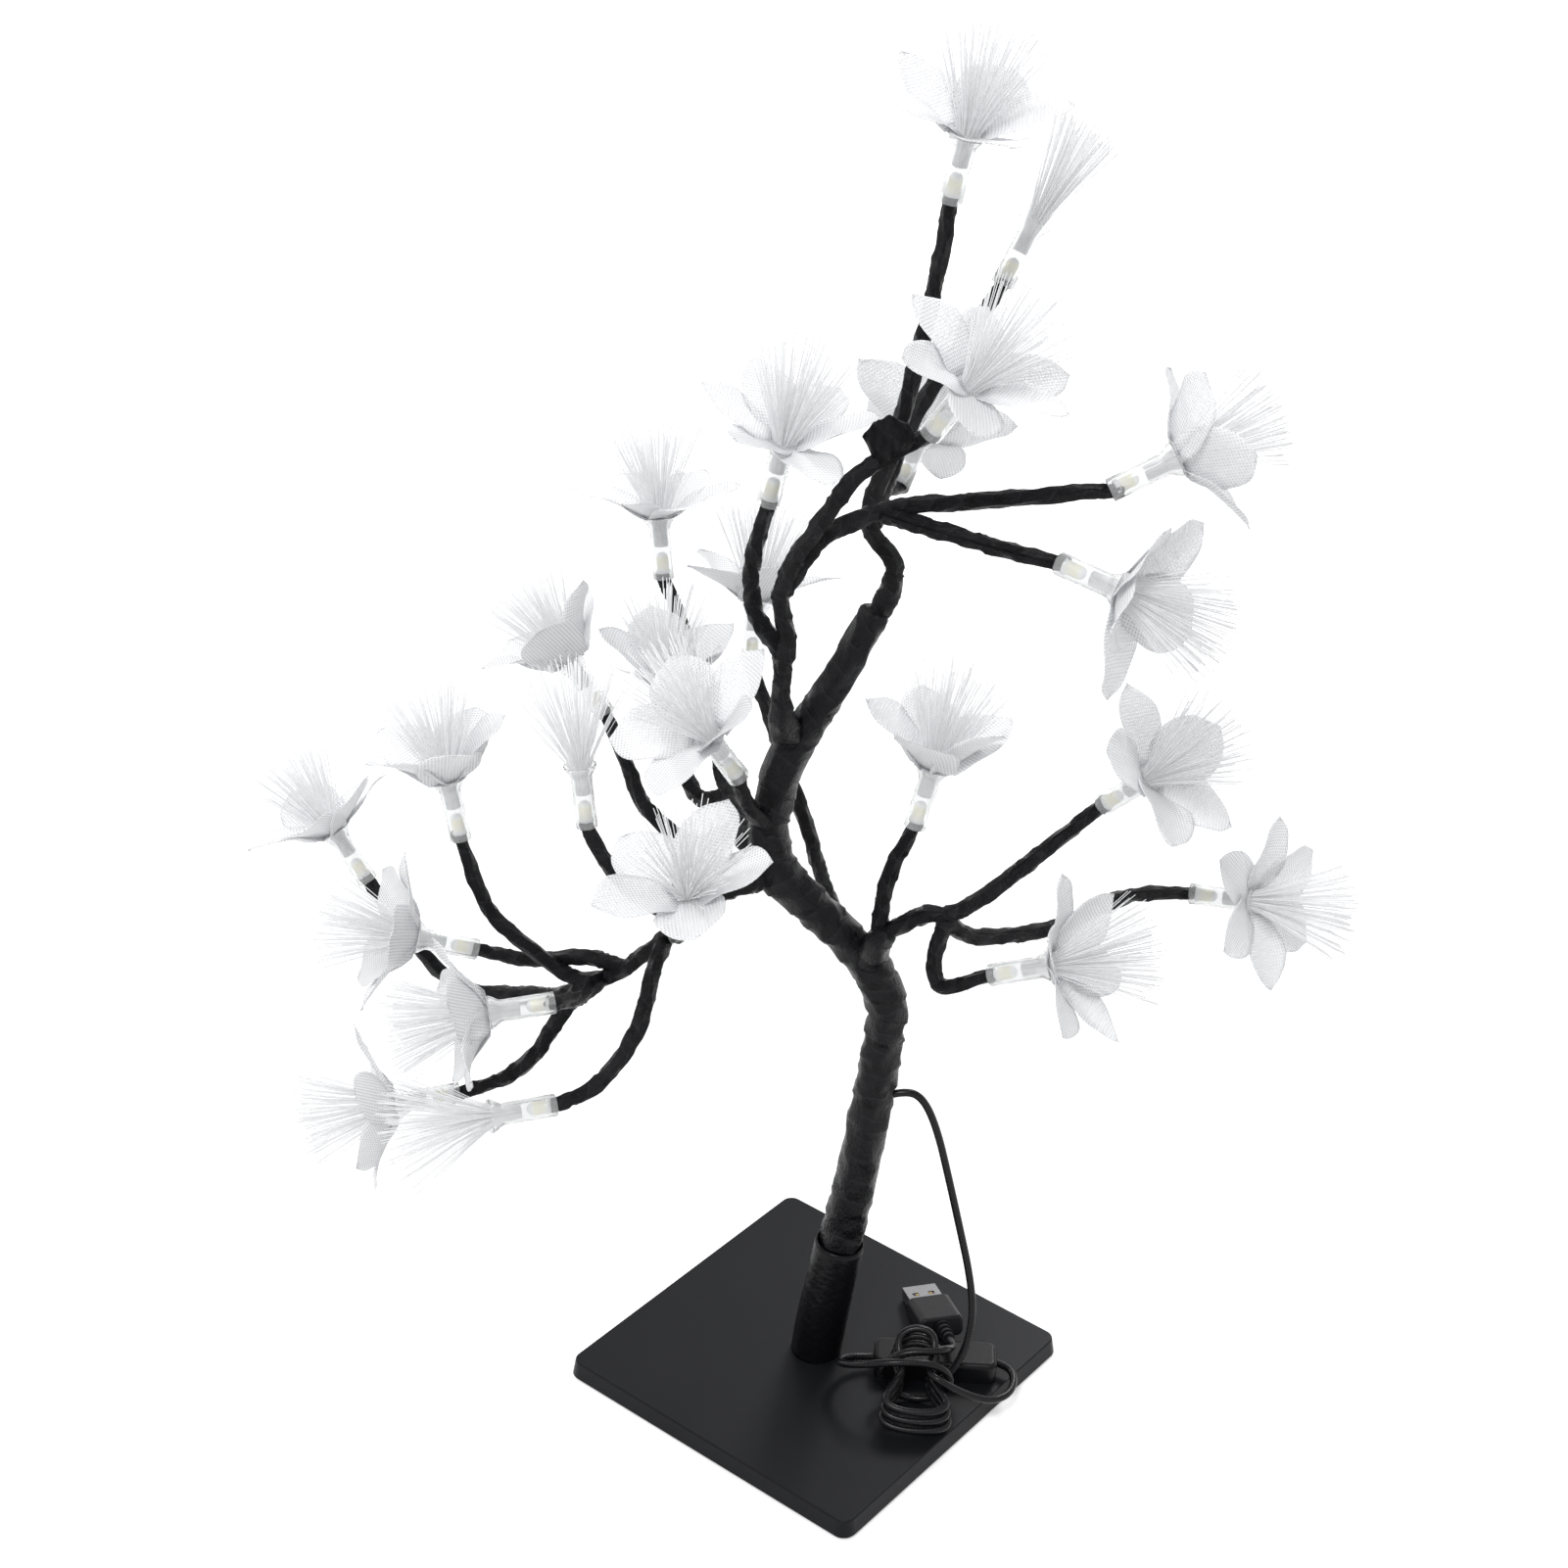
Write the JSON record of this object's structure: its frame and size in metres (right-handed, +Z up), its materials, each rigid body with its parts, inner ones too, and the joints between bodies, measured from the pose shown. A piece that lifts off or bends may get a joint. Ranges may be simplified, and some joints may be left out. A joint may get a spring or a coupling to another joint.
{
  "type": "fiber optic lamp",
  "caption": "Tree-shaped table lamp: bent tape-wrapped trunk on a weighted square base, with bendable limbs that end in lit fibre fans set in gauze petals, and a hanked lead.",
  "frame": {"origin": "centre of the base's underside", "axes": "+Z up the lamp; +X and +Y along two sides of the square base; the tree spreads in an upright plane turned 36.7 degrees from +X towards +Y"},
  "size_m": [0.3237, 0.2863, 0.466],
  "materials": {
    "satin_black": "satin black paint with a very fine grain",
    "weight_steel": "plain mild steel plate",
    "foam_pad": "black closed-cell foam sheet",
    "zinc_steel": "zinc-plated steel",
    "wire_core": "bundled annealed steel wire",
    "crepe_tape": "matt black crepe paper tape wound in overlapping turns",
    "foot_sleeve": "black shrunk plastic sleeve",
    "clear_sleeve": "clear soft plastic tube with a flared lip",
    "light": "clear-white light body with a pale yellow chip",
    "fibre": "bundle of fine clear-white optical fibres",
    "gauze": "white translucent woven gauze",
    "switch_plastic": "black moulded plastic",
    "button_plastic": "dark grey moulded plastic",
    "board": "green circuit board with its push contact",
    "plug_rubber": "black moulded soft plastic",
    "plug_steel": "bright plated steel shell",
    "plug_insulator": "white insulator",
    "contact_brass": "gilt contact strip",
    "lead_black": "black flexible round lead"
  },
  "bodies": {
    "stand": {"base_cover": "satin_black", "base_weight": "weight_steel", "base_pad": "foam_pad", "base_washer": "zinc_steel", "base_nut": "zinc_steel", "trunk_core": "wire_core", "trunk_wrap": "crepe_tape", "trunk_sleeve": "foot_sleeve", "sleeves_trunk": "clear_sleeve", "lights_trunk": "light", "fibres_trunk": "fibre", "petals_trunk": "gauze", "switch_upper_shell": "switch_plastic", "switch_lower_shell": "switch_plastic", "switch_board": "board", "plug_body": "plug_rubber", "plug_shell": "plug_steel", "plug_tongue": "plug_insulator", "plug_contacts": "contact_brass", "plug_relief": "plug_rubber", "cord_drop": "lead_black", "cord_hank": "lead_black", "cord_link": "lead_black", "cord_left_loop": "lead_black", "cord_tie": "lead_black", "cord_plug_end": "lead_black"},
    "button": {"switch_button": "button_plastic"},
    "limb_top_arm": {"limb_top": "crepe_tape", "sleeves_top": "clear_sleeve", "lights_top": "light", "fibres_top": "fibre", "petals_top": "gauze"},
    "limb_upper_arm": {"limb_upper": "crepe_tape", "sleeves_upper": "clear_sleeve", "lights_upper": "light", "fibres_upper": "fibre", "petals_upper": "gauze"},
    "limb_right_arm": {"limb_right": "crepe_tape", "sleeves_right": "clear_sleeve", "lights_right": "light", "fibres_right": "fibre", "petals_right": "gauze"},
    "limb_left_arm": {"limb_left": "crepe_tape", "sleeves_left": "clear_sleeve", "lights_left": "light", "fibres_left": "fibre", "petals_left": "gauze"},
    "limb_back_arm": {"limb_back": "crepe_tape", "sleeves_back": "clear_sleeve", "lights_back": "light", "fibres_back": "fibre", "petals_back": "gauze"}
  },
  "joints": [
    {"name": "bend_top", "type": "hinge", "parent": "stand", "child": "limb_top_arm", "pos_m": [0.00604, 0.01198, 0.297], "axis": [-0.5976, 0.8018, 0], "range_deg": [-6, 12]},
    {"name": "bend_upper", "type": "hinge", "parent": "stand", "child": "limb_upper_arm", "pos_m": [-0.01045, -0.01777, 0.259], "axis": [0, 0, 1], "range_deg": [-8, 10]},
    {"name": "bend_right", "type": "hinge", "parent": "stand", "child": "limb_right_arm", "pos_m": [0.0166, 0.00115, 0.182], "axis": [0, 0, 1], "range_deg": [-15, 15]},
    {"name": "bend_left", "type": "hinge", "parent": "stand", "child": "limb_left_arm", "pos_m": [-0.01948, -0.02574, 0.2], "axis": [0, 0, 1], "range_deg": [-10, 10]},
    {"name": "bend_back", "type": "hinge", "parent": "stand", "child": "limb_back_arm", "pos_m": [-0.03102, -0.00691, 0.203], "axis": [0, 0, 1], "range_deg": [0, 10]},
    {"name": "press_button", "type": "slide", "parent": "stand", "child": "button", "axis": [0, 0, -1], "range_m": [0, 0.001], "stiffness_N_per_m": 400, "springref_m": -0.0005}
  ]
}
